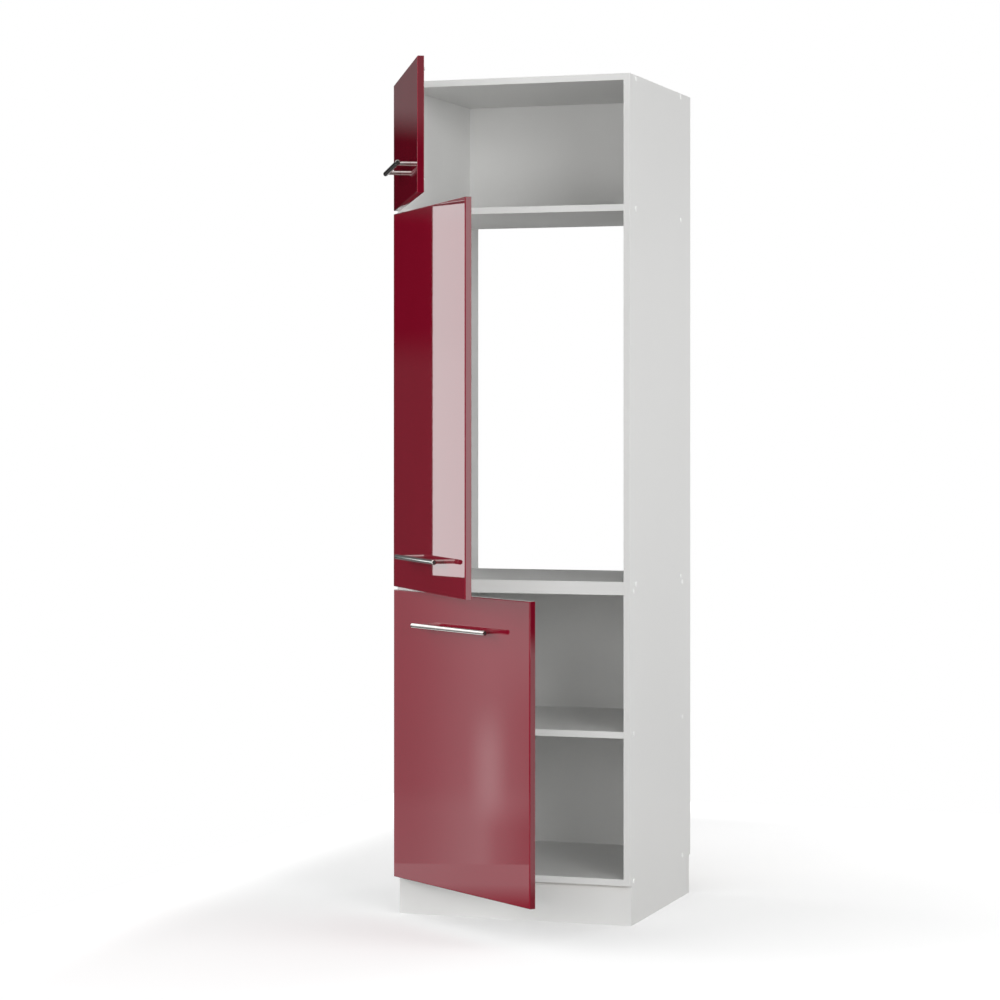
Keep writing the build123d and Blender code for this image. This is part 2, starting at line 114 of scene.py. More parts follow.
def take(piece):
    """Makes a piece the only one selected, and the active one."""
    deselect()
    piece.select_set(True)
    bpy.context.view_layer.objects.active = piece
    return piece


def settle(piece):
    """Puts a piece's place, turn and scale into its mesh."""
    take(piece)
    bpy.ops.object.transform_apply(location=True, rotation=True, scale=True)
    return piece


def block(name, low, high):
    """A box from its lowest to its highest corner."""
    deselect()
    low, high = Vector(low), Vector(high)
    bpy.ops.mesh.primitive_cube_add(size=1, location=(low + high) / 2, scale=high - low)
    piece = bpy.context.object
    piece.name = name
    return settle(piece)


def rod(name, start, end, radius, sides=48):
    """A round bar between two points."""
    deselect()
    start, end = Vector(start), Vector(end)
    turn = (end - start).to_track_quat("Z", "Y").to_euler()
    bpy.ops.mesh.primitive_cylinder_add(
        vertices=sides, radius=radius, depth=(end - start).length, location=(start + end) / 2, rotation=turn)
    piece = bpy.context.object
    piece.name = name
    return settle(piece)


def choose(piece, faces=None, edges=None):
    """Goes into edit mode with only the faces or edges selected for which the test holds."""
    take(piece)
    bpy.ops.object.mode_set(mode="EDIT")
    bpy.ops.mesh.select_all(action="DESELECT")
    bpy.ops.mesh.select_mode(type="FACE" if faces else "EDGE")
    bpy.ops.object.mode_set(mode="OBJECT")
    if faces:
        for face in piece.data.polygons:
            face.select = faces(face)
    else:
        points = piece.data.vertices
        for edge in piece.data.edges:
            edge.select = edges(points[edge.vertices[0]].co, points[edge.vertices[1]].co)
    bpy.ops.object.mode_set(mode="EDIT")


def leave():
    bpy.ops.object.mode_set(mode="OBJECT")


def round_edges(piece, test, radius, segments):
    """Rounds the edges for whose two ends the test holds."""
    choose(piece, edges=test)
    bpy.ops.mesh.bevel(offset=radius, segments=segments)
    leave()


def cut(piece, place, normal):
    """Runs a new ring of edges round a piece where a plane meets it."""
    take(piece)
    bpy.ops.object.mode_set(mode="EDIT")
    bpy.ops.mesh.select_all(action="SELECT")
    bpy.ops.mesh.bisect(plane_co=place, plane_no=normal)
    leave()


def apply_modifier(piece, kind, **settings):
    take(piece)
    modifier = piece.modifiers.new(kind.lower(), kind)
    for key, value in settings.items():
        setattr(modifier, key, value)
    bpy.ops.object.modifier_apply(modifier=modifier.name)


def smooth(piece, angle=35):
    """Smooth over the rounds, flat on the faces between them."""
    take(piece)
    bpy.ops.object.shade_smooth_by_angle(angle=radians(angle))
    apply_modifier(piece, "WEIGHTED_NORMAL", keep_sharp=True)


def join(name, pieces):
    """Makes one piece of several."""
    deselect()
    for piece in pieces:
        piece.select_set(True)
    bpy.context.view_layer.objects.active = pieces[0]
    bpy.ops.object.join()
    pieces[0].name = name
    return pieces[0]


def remove(piece):
    bpy.data.meshes.remove(piece.data)


def combine(piece, other, operation):
    """Adds another solid to a piece, or cuts it away."""
    apply_modifier(piece, "BOOLEAN", object=other, operation=operation, solver="EXACT")
    remove(other)


def subtract(piece, *cutters):
    for cutter in cutters:
        combine(piece, cutter, "DIFFERENCE")


def unite(piece, *others):
    for other in others:
        combine(piece, other, "UNION")


def hull(name, pieces):
    """One solid stretched tight over several, as a pressed flange over its ears."""
    piece = join(name, pieces)
    take(piece)
    bpy.ops.object.mode_set(mode="EDIT")
    bpy.ops.mesh.select_all(action="SELECT")
    bpy.ops.mesh.convex_hull()
    bpy.ops.mesh.dissolve_limited(angle_limit=radians(1))
    leave()
    return piece


def soften(piece, edge, segments=2):
    """Rounds every sharp edge a little."""
    apply_modifier(piece, "BEVEL", width=edge, segments=segments, limit_method="ANGLE",
                   angle_limit=radians(40), use_clamp_overlap=True)


def bent_strip(name, path, half_height, thickness, bend):
    """Upright sheet metal bent along a path seen from above; BEND is the radius of its middle line."""
    points = [Vector((x, y, 0)) for x, y in path]
    run = points[1] - points[0]
    deselect()
    bpy.ops.mesh.primitive_plane_add(size=1, location=(points[0] + points[1]) / 2,
                                     rotation=(radians(90), 0, atan2(run.y, run.x)))
    piece = bpy.context.object
    piece.name = name
    piece.scale = (run.length, 2 * half_height, 1)
    settle(piece)
    for last, point in zip(points[1:], points[2:]):
        choose(piece, edges=lambda a, b: upright_at(a, b, last))
        bpy.ops.mesh.extrude_region_move(TRANSFORM_OT_translate={"value": point - last})
        leave()
    if len(points) > 2:
        round_edges(piece, lambda a, b: any(upright_at(a, b, point) for point in points[1:-1]), bend, 6)
    apply_modifier(piece, "SOLIDIFY", thickness=thickness, offset=0, use_even_offset=True)
    return piece


def upright_at(a, b, point):
    return all((Vector((end.x, end.y, 0)) - point).length < 1e-5 for end in (a, b))


def copy_of(piece, matrix):
    """A copy with a mesh of its own, put in place."""
    take(piece)
    bpy.ops.object.duplicate()
    twin = bpy.context.object
    twin.matrix_world = matrix
    return settle(twin)


def solids_of(node, door=None):
    """Lowest and highest corners of each solid in a node, at rest or with its door shut."""
    shut = swing(door).inverted() if door else Matrix()
    mesh = frame["nodes"][node].data
    keys = [tuple(round(value, 6) for value in vertex.co) for vertex in mesh.vertices]
    leader = {key: key for key in keys}

    def lead(key):
        while leader[key] != key:
            key = leader[key]
        return key

    for face in mesh.polygons:
        leads = [lead(keys[corner]) for corner in face.vertices]
        for other in leads:
            leader[other] = leads[0]
    solids = {}
    for key in leader:
        solids.setdefault(lead(key), []).append(shut @ Vector(key))
    boxes = [[Vector(pick(point[axis] for point in points) for axis in range(3)) for pick in (min, max)]
             for points in solids.values()]
    return sorted(boxes, key=lambda box: tuple(box[0]))


def finish_piece(piece, body, nodes=(), materials=()):
    for material in materials:
        piece.data.materials.append(material)
    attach(piece, body)
    if nodes:
        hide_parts(*nodes)
    return piece


# The doors stand open in the frame. Their pieces are made with the door shut, then swung with it.


def hinge_of(door):
    return next(joint for joint in frame["joints"] if joint["child"] == door + "_door")


def swing(door):
    """The turn that takes a shut door to where it stands."""
    pivot = Matrix.Translation(hinge_of(door)["pos_m"])
    return pivot @ Matrix.Rotation(radians(hinge_of(door)["range_deg"][0]), 4, "Z") @ pivot.inverted()


def shut_box(door, node):
    """Lowest and highest corners of a door's node, with the door shut."""
    shut = swing(door).inverted()
    points = [shut @ vertex.co for vertex in frame["nodes"][node].data.vertices]
    corners = [[pick(point[axis] for point in points) for axis in range(3)] for pick in (min, max)]
    return Vector(corners[0]), Vector(corners[1])


def hang(piece, door):
    """Swings a piece that was made on a shut door."""
    piece.matrix_world = swing(door)
    return settle(piece)


# Node graphs


def new_material(name):
    material = bpy.data.materials.new(name)
    material.use_nodes = True
    return material, material.node_tree, material.node_tree.nodes["Principled BSDF"]


def add_node(tree, kind, sockets=None, **settings):
    """A node with its settings and its own socket values; an output socket as value is linked."""
    node = tree.nodes.new(kind)
    for key, value in settings.items():
        setattr(node, key, value)
    for key, value in (sockets or {}).items():
        plug(tree, node.inputs[key], value)
    return node


def plug(tree, socket, value):
    if isinstance(value, bpy.types.NodeSocket):
        tree.links.new(value, socket)
    else:
        socket.default_value = value


def object_place(tree, stretch=(1, 1, 1)):
    """Object coordinates, stretched for a pattern that runs one way."""
    place = add_node(tree, "ShaderNodeTexCoord").outputs["Object"]
    if stretch == (1, 1, 1):
        return place
    return add_node(tree, "ShaderNodeMapping", {"Vector": place, "Scale": stretch}).outputs["Vector"]


def noise(tree, place, scale, detail=3.0, roughness=0.5):
    return add_node(tree, "ShaderNodeTexNoise", {
        "Vector": place, "Scale": scale, "Detail": detail, "Roughness": roughness}).outputs["Fac"]


def spread(tree, value, low, high, start=0.3, end=0.7):
    """A value's range from START to END made LOW to HIGH."""
    return add_node(tree, "ShaderNodeMapRange", {
        "Value": value, "From Min": start, "From Max": end, "To Min": low, "To Max": high}).outputs["Result"]


def blend_colour(tree, share, first, second):
    """First colour where the share is 0, second where it is 1."""
    mix = add_node(tree, "ShaderNodeMix", data_type="RGBA")
    plug(tree, mix.inputs[0], share)
    for socket, colour in ((mix.inputs[6], first), (mix.inputs[7], second)):
        plug(tree, socket, colour if isinstance(colour, bpy.types.NodeSocket) else (*colour, 1.0))
    return mix.outputs[2]


def maths(tree, operation, first, second=0.0):
    return add_node(tree, "ShaderNodeMath", {0: first, 1: second}, operation=operation).outputs[0]


def add_bump(tree, shader, height, depth, strength=1.0):
    """Bump of a depth in metres."""
    bump = add_node(tree, "ShaderNodeBump", {"Height": height, "Distance": depth, "Strength": strength})
    tree.links.new(bump.outputs["Normal"], shader.inputs["Normal"])


def facing_mask(tree, axis, start, end):
    """Which faces look along an axis: 0 where the normal's part is START, 1 where it is END."""
    normal = add_node(tree, "ShaderNodeNewGeometry").outputs["True Normal"]
    part = add_node(tree, "ShaderNodeSeparateXYZ", {"Vector": normal}).outputs[axis]
    return spread(tree, part, 0.0, 1.0, start, end)


def chipboard(tree, place):
    """The colour and height of a sawn chipboard edge, from its flakes."""
    flakes = add_node(tree, "ShaderNodeTexVoronoi", {"Vector": place, "Scale": 420.0, "Randomness": 1.0})
    shade = add_node(tree, "ShaderNodeSeparateColor", {"Color": flakes.outputs["Color"]}).outputs["Red"]
    tint = blend_colour(tree, shade, (0.36, 0.25, 0.14), (0.62, 0.48, 0.31))
    pores = spread(tree, noise(tree, place, 900.0, 2.0), 0.0, 1.0, 0.36, 0.5)
    return blend_colour(tree, pores, (0.22, 0.15, 0.08), tint), maths(tree, "MULTIPLY", shade, pores)


rear_edge_y = 0.505             # sawn rear edges lie behind this, and sawn feet below the next
foot_z = 0.0995


def melamine(name, colour, bare_edges):
    """White melamine with a fine pearl grain; BARE_EDGES leaves rear edges and feet as sawn chipboard."""
    material, tree, board = new_material(name)
    place = object_place(tree)
    pearl = noise(tree, place, 750.0, 2.0)
    drift = spread(tree, noise(tree, place, 2.2, 2.0), 0.0, 1.0)
    dimmer, brighter = [[min(value * share, 1) for value in colour] for share in (0.992, 1.006)]
    pale = blend_colour(tree, drift, dimmer, brighter)
    gloss = spread(tree, pearl, 0.34, 0.46)
    height, depth = pearl, 0.00002
    if bare_edges:
        parts = add_node(tree, "ShaderNodeSeparateXYZ", {"Vector": place})
        behind = maths(tree, "GREATER_THAN", parts.outputs["Y"], rear_edge_y)
        rear = maths(tree, "MULTIPLY", facing_mask(tree, "Y", 0.8, 0.9), behind)
        low = maths(tree, "LESS_THAN", parts.outputs["Z"], foot_z)
        foot = maths(tree, "MULTIPLY", facing_mask(tree, "Z", -0.8, -0.9), low)
        bare = maths(tree, "MAXIMUM", rear, foot)
        sawn, flakes = chipboard(tree, place)
        pale = blend_colour(tree, bare, pale, sawn)
        gloss = maths(tree, "MAXIMUM", gloss, maths(tree, "MULTIPLY", bare, 0.85))
        grain = maths(tree, "MULTIPLY", pearl, 0.1)
        height = maths(tree, "ADD", grain, maths(tree, "MULTIPLY", bare, flakes))
        depth = 0.0002
    tree.links.new(pale, board.inputs["Base Color"])
    tree.links.new(gloss, board.inputs["Roughness"])
    add_bump(tree, board, height, depth)
    return material


def hardboard():
    """Hardboard: white lacquer on the face, brown and pressed with a fine mesh behind."""
    material, tree, board = new_material("lacquered hardboard")
    place = object_place(tree)
    behind = facing_mask(tree, "Y", 0.3, 0.6)
    fibre = noise(tree, object_place(tree, (1, 1, 0.35)), 380.0, 4.0, 0.6)
    brown = blend_colour(tree, spread(tree, fibre, 0.0, 1.0), (0.27, 0.16, 0.085), (0.44, 0.29, 0.17))
    mottle = spread(tree, noise(tree, place, 9.0, 3.0), 0.0, 1.0)
    brown = blend_colour(tree, maths(tree, "MULTIPLY", mottle, 0.35), brown, (0.34, 0.21, 0.12))
    white = blend_colour(tree, mottle, (0.795, 0.795, 0.785), (0.806, 0.806, 0.796))
    tree.links.new(blend_colour(tree, behind, white, brown), board.inputs["Base Color"])
    tree.links.new(spread(tree, behind, 0.38, 0.75, 0.0, 1.0), board.inputs["Roughness"])
    mesh = []
    for axis in ("X", "Z"):
        part = add_node(tree, "ShaderNodeSeparateXYZ", {"Vector": place}).outputs[axis]
        mesh.append(maths(tree, "SINE", maths(tree, "MULTIPLY", part, 2 * pi / 0.0022)))
    weave = maths(tree, "MULTIPLY", maths(tree, "MULTIPLY", mesh[0], mesh[1]), 0.5)
    height = maths(tree, "MULTIPLY", maths(tree, "ADD", weave, fibre), behind)
    add_bump(tree, board, height, 0.00015)
    return material


def red_gloss(name, dark, pale):
    """High-gloss red foil, with a barely uneven gloss."""
    material, tree, door = new_material(name)
    place = object_place(tree)
    drift = spread(tree, noise(tree, place, 5.0, 2.0), 0.0, 1.0)
    tree.links.new(blend_colour(tree, drift, dark, pale), door.inputs["Base Color"])
    tree.links.new(spread(tree, noise(tree, place, 160.0, 2.0), 0.010, 0.016), door.inputs["Roughness"])
    door.inputs["IOR"].default_value = 1.6
    add_bump(tree, door, noise(tree, place, 55.0, 2.0), 0.000002)
    return material


def fibre_core():
    """Fibreboard core, laid open where a door is bored."""
    material, tree, core = new_material("fibreboard core")
    place = object_place(tree)
    fibre = noise(tree, place, 1400.0, 4.0, 0.6)
    tree.links.new(blend_colour(tree, spread(tree, fibre, 0.0, 1.0), (0.34, 0.23, 0.13), (0.50, 0.37, 0.23)),
                   core.inputs["Base Color"])
    core.inputs["Roughness"].default_value = 0.85
    add_bump(tree, core, fibre, 0.0001)
    return material


def metal(name, dark, pale, roughness, grain, depth, cloud=40.0):
    """Metal with a clouded tone and a fine grain in its gloss and surface."""
    material, tree, shader = new_material(name)
    place = object_place(tree)
    tone = spread(tree, noise(tree, place, cloud, 3.0), 0.0, 1.0)
    tree.links.new(blend_colour(tree, tone, dark, pale), shader.inputs["Base Color"])
    fine = noise(tree, place, grain, 3.0)
    tree.links.new(spread(tree, fine, *roughness), shader.inputs["Roughness"])
    shader.inputs["Metallic"].default_value = 1.0
    add_bump(tree, shader, fine, depth)
    return material


def moulded(name, dark, pale, roughness, see_through=0.0):
    """Moulded plastic."""
    material, tree, shader = new_material(name)
    place = object_place(tree)
    tone = spread(tree, noise(tree, place, 60.0, 2.0), 0.0, 1.0)
    tree.links.new(blend_colour(tree, tone, dark, pale), shader.inputs["Base Color"])
    fine = noise(tree, place, 1500.0, 2.0)
    tree.links.new(spread(tree, fine, *roughness), shader.inputs["Roughness"])
    shader.inputs["Transmission Weight"].default_value = see_through
    add_bump(tree, shader, fine, 0.00001)
    return material


board_white = (0.80, 0.80, 0.79)
# the edge bands' white is the boards' white painted a little darker, as painted shade on the front edges
band_white_painted_shade = (0.755, 0.755, 0.745)
finishes = {
    "board": melamine("white melamine board", board_white, bare_edges=True),
    "door_back": melamine("white melamine door back", board_white, bare_edges=False),
    "band": melamine("white edge band with painted shade", band_white_painted_shade, bare_edges=False),
    "back": hardboard(),
    "door": red_gloss("gloss red door foil", (0.249, 0.0040, 0.0200), (0.259, 0.0044, 0.0220)),
    # the same foil, painted darker for the leaves' edges: painted shade
    "door_edge_painted_shade": red_gloss("gloss red door edge with painted shade", (0.145, 0.0030, 0.0125), (0.155, 0.0034, 0.0140)),
    "core": fibre_core(),
    "handle": metal("polished handle steel", (0.56, 0.54, 0.52), (0.64, 0.62, 0.60), (0.06, 0.11), 700.0,
                    0.000001),
    "plug": moulded("dark handle end plug", (0.030, 0.028, 0.028), (0.040, 0.038, 0.036), (0.30, 0.42)),
    "nickel": metal("nickel plate", (0.60, 0.585, 0.55), (0.70, 0.685, 0.65), (0.18, 0.30), 900.0, 0.000004),
    "zinc": metal("bright zinc plate", (0.54, 0.56, 0.58), (0.66, 0.67, 0.68), (0.20, 0.34), 1100.0,
                  0.000006, 90.0),
    "cap": moulded("white cap plastic", (0.84, 0.84, 0.83), (0.88, 0.88, 0.87), (0.38, 0.50)),
    "buffer": moulded("clear buffer plastic", (0.86, 0.87, 0.86), (0.92, 0.92, 0.91), (0.12, 0.22), 0.35),
}


def finish_of(name):
    if name.endswith("_door"):
        return finishes["door"]
    if name.endswith("back_panel"):
        return finishes["back"]
    if "handle" in name:
        return finishes["handle"]
    if "hinge" in name or "screws" in name or "nails" in name or "brackets" in name:
        return finishes["zinc"]
    return finishes["board"]


for name, node in frame["nodes"].items():
    node.data.materials.clear()
    node.data.materials.append(finish_of(name))


# Doors: a pressed leaf whose red foil wraps the front and the edges, with a white back; on the edges the
# same foil is painted darker, as painted shade

front_round = 0.0025
back_round = 0.0010

# Cup hinges, which the leaves are bored for
hinge_edge_x = -0.299           # the shut door's hinged edge and inner face
inner_face_y = -0.0255
pin_place = (-0.294, -0.0285)
cup_x = -0.2765
cup_r = 0.0175
cup_depth = 0.011
cup_play = 0.00015
cup_wall = 0.0015
side_play = 0.0004
knuckle_depth = 0.0056
knuckle_half = 0.0078
knuckle_start = 0.0022          # wood left between the door's edge and the knuckle's slot
tongue_half = 0.004


def hinge_levels(door):
    cups = [name for name in frame["nodes"] if name.startswith(door + "_hinge_cup_") and name[-1].isdigit()]
    return [sum(corner.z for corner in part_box(name)) / 2 for name in sorted(cups)]


def cup_recess(level):
    """The bore for a hinge's cup and the slot for its knuckle, in a shut door."""
    bore = rod("bore", (cup_x, inner_face_y + 0.002, level),
               (cup_x, inner_face_y - cup_depth - side_play, level), cup_r, sides=64)
    half = knuckle_half + cup_play
    foot_y = inner_face_y - knuckle_depth - cup_play
    slot = block("slot", (hinge_edge_x + knuckle_start, foot_y, level - half),
                 (cup_x, inner_face_y + 0.002, level + half))
    return bore, slot


def door_leaf(door):
    low, high = shut_box(door, door + "_door")
    leaf = block(door + "_door_leaf", low, high)
    tiny = 1e-5
    round_edges(leaf, lambda a, b: a.y < low.y + tiny and b.y < low.y + tiny, front_round, 6)
    round_edges(leaf, lambda a, b: a.y > high.y - tiny and b.y > high.y - tiny, back_round, 3)
    for finish in ("door", "door_back", "core", "door_edge_painted_shade"):
        leaf.data.materials.append(finishes[finish])
    for face in leaf.data.polygons:
        # edge faces take the darker copy of the foil, which is painted shade
        on_edge = max(abs(face.normal.x), abs(face.normal.z)) > 0.99
        face.material_index = 3 if on_edge else int(face.normal.y > 0.99)
    for level in hinge_levels(door):
        subtract(leaf, *cup_recess(level))
    inner = high.y - 1e-5
    for face in leaf.data.polygons:
        in_reach = abs(face.center.x - cup_x) < cup_r + 2e-3 or face.center.x < cup_x
        if in_reach and low.y + 1e-3 < face.center.y < inner and low.x + 1e-3 < face.center.x:
            face.material_index = 2
    smooth(leaf)
    return finish_piece(hang(leaf, door), door + "_door", [door + "_door"])


for door in door_names:
    door_leaf(door)


# Bar handles: a polished tube with a turned plug in each end, on two posts

bar_edge = 0.0006
plug_length = 0.0032
plug_groove = (0.0008, 0.0005)      # width and depth
plug_rim = 0.0009
plug_sunk = 0.0005
post_edge = 0.0004


def handle_bar(door):
    node = door + "_handle_bar"
    low, high = shut_box(door, node)
    middle = (low + high) / 2
    bar = rod(door + "_handle_tube", (low.x, middle.y, middle.z), (high.x, middle.y, middle.z),
              (high.z - low.z) / 2, sides=64)
    tiny = 1e-5
    round_edges(bar, lambda a, b: abs(a.x - b.x) < tiny, bar_edge, 3)
    bar.data.materials.append(finishes["handle"])
    bar.data.materials.append(finishes["plug"])
    for end in (low.x, high.x):
        choose(bar, faces=lambda face: abs(face.center.x - end) < tiny and abs(face.normal.x) > 0.99)
        bpy.ops.mesh.inset(thickness=plug_rim)
        bpy.ops.mesh.inset(thickness=plug_sunk / 10, depth=-plug_sunk)
        leave()
        for face in bar.data.polygons:
            sunk = abs(abs(face.center.x - end) - plug_sunk) < tiny and abs(face.normal.x) > 0.99
            if sunk:
                face.material_index = 1
    width, depth = plug_groove
    for end, inward in ((low.x, 1), (high.x, -1)):
        groove = sorted((end + inward * plug_length, end + inward * (plug_length + width)))
        for x in groove:
            cut(bar, (x, middle.y, middle.z), (1, 0, 0))
        choose(bar, faces=lambda face: groove[0] < face.center.x < groove[1])
        bpy.ops.mesh.inset(thickness=width / 8, depth=-depth)
        leave()
    smooth(bar)
    return finish_piece(hang(bar, door), door + "_door", [node])


def handle_posts(door):
    node = door + "_handle_posts"
    low, high = shut_box(door, node)
    radius = (high.z - low.z) / 2
    bar_low, bar_high = shut_box(door, door + "_handle_bar")
    axis_y = (bar_low.y + bar_high.y) / 2
    middle_z = (low.z + high.z) / 2
    posts = []
    for x in (low.x + radius, high.x - radius):
        post = rod("post", (x, high.y, middle_z), (x, axis_y, middle_z), radius)
        round_edges(post, lambda a, b: a.y > high.y - 1e-5 and b.y > high.y - 1e-5, post_edge, 2)
        posts.append(post)
    pair = join(door + "_handle_post_pair", posts)
    smooth(pair)
    return finish_piece(hang(pair, door), door + "_door", [node], [finishes["handle"]])


for door in door_names:
    handle_bar(door)
    handle_posts(door)


# Hinges: a pressed cup in the door, a cranked arm on the side panel, its mounting plate and the pin

flange_t = 0.0012
flange_rim = 0.001
ear_r = 0.0065
ear_out = 0.006                 # ears further from the door's edge than the cup's middle
ear_reach = 0.024
ear_bore = 0.0021
pin_r = 0.00125
eye_r = 0.0022
tongue_t = 0.0025
panel_x = -0.284                # inner face of the left side panel
panel_y = -0.0225               # and its front edge
arm_rise = 0.009
arm_t = 0.0015
arm_half = 0.008
arm_start = 0.012
arm_l = 0.060
plate_t = 0.0025
plate_screw_y = 0.037
plate_screw_reach = 0.016
plate_ear_r = 0.007
adjuster_y = 0.0235             # side adjusting screw, behind the front edge
metal_edge = 0.00025


def hinge_cup():
    """A cup as it lies in a shut door, its middle at level 0."""
    top = inner_face_y + flange_t
    cup = hull("cup", [
        rod("rim", (cup_x, inner_face_y, 0), (cup_x, top, 0), cup_r + flange_rim, sides=64),
        *[rod("ear", (cup_x + ear_out, inner_face_y, z), (cup_x + ear_out, top, z), ear_r, sides=32)
          for z in (-ear_reach, ear_reach)]])
    well = rod("well", (cup_x, top - flange_t / 2, 0), (cup_x, inner_face_y - cup_depth, 0),
               cup_r - cup_play, sides=64)
    floor_y = inner_face_y - cup_depth + 1e-5
    round_edges(well, lambda a, b: a.y < floor_y and b.y < floor_y, 0.0016, 4)
    cheeks = block("cheeks",
                   (hinge_edge_x + knuckle_start + cup_play, inner_face_y - knuckle_depth, -knuckle_half),
                   (cup_x, top - flange_t / 2, knuckle_half))
    unite(cup, well, cheeks)
    hollow_r = cup_r - cup_play - cup_wall
    hollow = rod("hollow", (cup_x, top + 0.001, 0), (cup_x, inner_face_y - cup_depth + cup_wall, 0),
                 hollow_r, sides=64)
    floor_y = inner_face_y - cup_depth + cup_wall + 1e-5
    round_edges(hollow, lambda a, b: a.y < floor_y and b.y < floor_y, 0.0012, 4)
    slot_half = tongue_half + side_play
    knuckle_slot = block("knuckle_slot", (hinge_edge_x - 0.001, inner_face_y - knuckle_depth, -slot_half),
                         (cup_x, top + 0.001, slot_half))
    ear_x = cup_x + ear_out
    ear_bores = [rod("ear_bore", (ear_x, inner_face_y - 0.001, z), (ear_x, top + 0.001, z), ear_bore,
                     sides=24) for z in (-ear_reach, ear_reach)]
    subtract(cup, hollow, knuckle_slot, *ear_bores)
    soften(cup, metal_edge)
    smooth(cup)
    return cup


def hinge_arm():
    """An arm on the side panel, its middle at level 0: knuckle, tongue, channel and adjusting screw."""
    pin_x, pin_y = pin_place
    neck_x = panel_x + 2 * side_play + tongue_t / 2
    web_x = panel_x + arm_rise + arm_t / 2
    bend_y = panel_y + tongue_t / 2
    tongue = bent_strip(
        "tongue",
        [(pin_x + eye_r / 2, pin_y), (neck_x, pin_y), (neck_x, bend_y), (web_x, bend_y + web_x - neck_x),
         (web_x, panel_y + arm_start + tongue_t)], tongue_half, tongue_t, tongue_t / 2)
    soften(tongue, metal_edge)
    knuckle = rod("knuckle", (pin_x, pin_y, -tongue_half), (pin_x, pin_y, tongue_half), eye_r, sides=32)
    subtract(knuckle, rod("eye", (pin_x, pin_y, -0.01), (pin_x, pin_y, 0.01), pin_r + 0.00006, sides=24))
    top_x = panel_x + arm_rise + arm_t
    foot_x = panel_x + plate_t + side_play
    channel = block("channel", (foot_x, panel_y + arm_start, -arm_half), (top_x, panel_y + arm_l, arm_half))
    round_edges(channel, lambda a, b: a.x > top_x - 1e-5 and b.x > top_x - 1e-5 and abs(a.z - b.z) < 1e-5,
                0.0012, 4)
    choose(channel, faces=lambda face: face.normal.x < -0.9 or abs(face.normal.y) > 0.9)
    bpy.ops.mesh.delete(type="FACE")
    leave()
    apply_modifier(channel, "SOLIDIFY", thickness=arm_t, offset=-1, use_even_offset=True)
    # Open slot for the clamp screw, so that the arm slides on its plate
    clamp_y = panel_y + 0.050
    slot_y, slot_half = clamp_y - 0.003, 0.0021
    below_x, above_x = top_x - 0.003, top_x + 0.001
    subtract(channel,
             rod("slot_end", (below_x, slot_y, 0), (above_x, slot_y, 0), slot_half, sides=24),
             block("slot", (below_x, slot_y, -slot_half), (above_x, panel_y + arm_l + 0.001, slot_half)))
    soften(channel, metal_edge)
    adjuster = screw("adjuster", 0.0027, 0.0007, 0.0020, 0.003)
    adjuster.matrix_world = facing((top_x, panel_y + adjuster_y, 0), (1, 0, 0), 20)
    settle(adjuster)
    arm = join("arm", [channel, tongue, knuckle, adjuster])
    smooth(arm)
    return arm


def mounting_plate():
    """A plate under an arm, its middle at level 0."""
    ridge_half = arm_half - arm_t - cup_play
    ridge_start = panel_y + arm_start + tongue_t
    plate = hull("plate", [
        rod("ear", (panel_x, panel_y + plate_screw_y, z), (panel_x + plate_t, panel_y + plate_screw_y, z),
            plate_ear_r, sides=40) for z in (-plate_screw_reach, plate_screw_reach)])
    ridge = block("ridge", (panel_x, ridge_start, -ridge_half),
                  (panel_x + arm_rise, panel_y + arm_l, ridge_half))
    unite(plate, ridge)
    soften(plate, 0.0004)
    smooth(plate)
    return plate


def hinge_pin():
    pin = rod("pin", (*pin_place, -knuckle_half), (*pin_place, knuckle_half), pin_r, sides=24)
    round_edges(pin, lambda a, b: abs(a.z - b.z) < 1e-6, 0.0003, 2)
    smooth(pin)
    return pin


def facing(place, direction, turn=0):
    """Where a piece made along Z goes to stand on a place and look in a direction."""
    look = Vector(direction).to_track_quat("Z", "Y").to_matrix().to_4x4()
    return Matrix.Translation(place) @ look @ Matrix.Rotation(radians(turn), 4, "Z")


def raised(level):
    return Matrix.Translation((0, 0, level))


# Screws, each made once along Z with its seat at the origin

recess_width = 0.16             # of a cross recess, as a share of the head's radius
recess_reach = 0.56
recess_depth = 0.62             # as a share of the head's height


def screw(name, head_r, head_h, core_r, length):
    """A pan-head screw with a cross recess."""
    head = rod(name, (0, 0, 0), (0, 0, head_h), head_r, sides=40)
    round_edges(head, lambda a, b: a.z > head_h - 1e-6 and b.z > head_h - 1e-6, head_h * 0.6, 4)
    width, reach = head_r * recess_width, head_r * recess_reach
    foot = head_h * (1 - recess_depth)
    subtract(head,
             block("recess", (-width, -reach, foot), (width, reach, head_h + 0.001)),
             block("recess", (-reach, -width, foot), (reach, width, head_h + 0.001)))
    shank = rod("shank", (0, 0, 0.0001), (0, 0, -length), core_r, sides=20)
    round_edges(shank, lambda a, b: a.z < 1e-6 - length and b.z < 1e-6 - length, core_r * 0.6, 2)
    whole = join(name, [head, shank])
    smooth(whole)
    return whole


def seats(boxes, direction, head_h):
    """Where heads stand that look in a direction, from the screws' boxes."""
    look = Vector(direction)
    places = []
    for low, high in boxes:
        middle = (low + high) / 2
        reach = sum(abs(look[axis]) * (high[axis] - low[axis]) / 2 for axis in range(3))
        places.append((middle + look * (reach - head_h), look))
    return places


def fit_copies(name, piece, places, door=None):
    """Copies of a piece on all its places, as one piece, each turned a little further than the last."""
    copies = [copy_of(piece, facing(place, look, 35 * number))
              for number, (place, look) in enumerate(places)]
    remove(piece)
    group = join(name, copies)
    return hang(group, door) if door else group


cup_screw_head = (0.0036, 0.0008)       # radius and height
handle_screw_head = (0.004, 0.0022)
joining_screw_head = (0.0035, 0.0022)
pan_head = (0.0036, 0.0016)
nail_head = (0.002, 0.0008)
cap_size = (0.0065, 0.0014)


